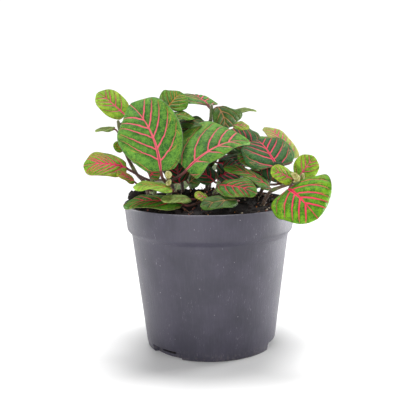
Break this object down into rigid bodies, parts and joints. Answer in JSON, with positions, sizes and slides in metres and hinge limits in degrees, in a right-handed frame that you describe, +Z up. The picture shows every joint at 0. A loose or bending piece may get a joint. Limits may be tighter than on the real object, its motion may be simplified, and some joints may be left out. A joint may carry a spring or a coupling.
{
  "type": "potted nerve plant",
  "caption": "Nerve plant with oval, pink-veined leaves on short branching stems, growing in soil in a tapered dark plastic nursery pot with a broad collar and drainage notches.",
  "frame": {"origin": "centre of the pot's flat underside, on the pot's axis", "axes": "+Z up along the pot's axis, -Y towards the front of the plant, +X to its right seen from the front"},
  "size_m": [0.1616, 0.1509, 0.1806],
  "materials": {
    "pot": "satin moulded polypropylene, dark grey",
    "soil": "rough, moist peat and bark mix",
    "stem": "fine-haired, brown to purple",
    "leaf_mature": "satin, dark green with pink veins",
    "leaf_young": "satin, lime green with red veins"
  },
  "bodies": {
    "root": {"pot": "pot", "soil": "soil", "stem_left": "stem", "stem_mid_left": "stem", "stem_centre": "stem", "stem_front": "stem", "stem_right": "stem", "stem_inner_right": "stem", "stem_upright": "stem", "stem_inner_left": "stem", "stem_back_left": "stem", "stem_back": "stem", "stem_back_right": "stem", "leaf_14": "leaf_mature", "leaf_15": "leaf_young", "leaf_30": "leaf_young", "leaf_16": "leaf_young", "leaf_17": "leaf_young", "leaf_29": "leaf_young", "leaf_31": "leaf_mature", "leaf_01": "leaf_mature", "leaf_02": "leaf_mature", "leaf_18": "leaf_young", "leaf_19": "leaf_young", "leaf_20": "leaf_mature", "leaf_21": "leaf_young", "leaf_22": "leaf_young", "leaf_23": "leaf_mature", "leaf_25": "leaf_mature", "leaf_05": "leaf_young", "leaf_06": "leaf_mature", "leaf_07": "leaf_young", "leaf_24": "leaf_young", "leaf_03": "leaf_mature", "leaf_04": "leaf_young", "leaf_08": "leaf_mature", "leaf_43": "leaf_young", "leaf_09": "leaf_mature", "leaf_10": "leaf_mature", "leaf_26": "leaf_mature", "leaf_27": "leaf_young", "leaf_41": "leaf_mature", "leaf_47": "leaf_mature", "leaf_11": "leaf_mature", "leaf_12": "leaf_mature", "leaf_13": "leaf_mature", "leaf_28": "leaf_mature", "leaf_42": "leaf_mature", "leaf_46": "leaf_mature", "leaf_32": "leaf_mature", "leaf_33": "leaf_mature", "leaf_34": "leaf_young", "leaf_35": "leaf_mature", "leaf_36": "leaf_mature", "leaf_37": "leaf_young", "leaf_44": "leaf_mature", "leaf_38": "leaf_mature", "leaf_39": "leaf_mature", "leaf_40": "leaf_young", "leaf_45": "leaf_young"}
  },
  "joints": []
}
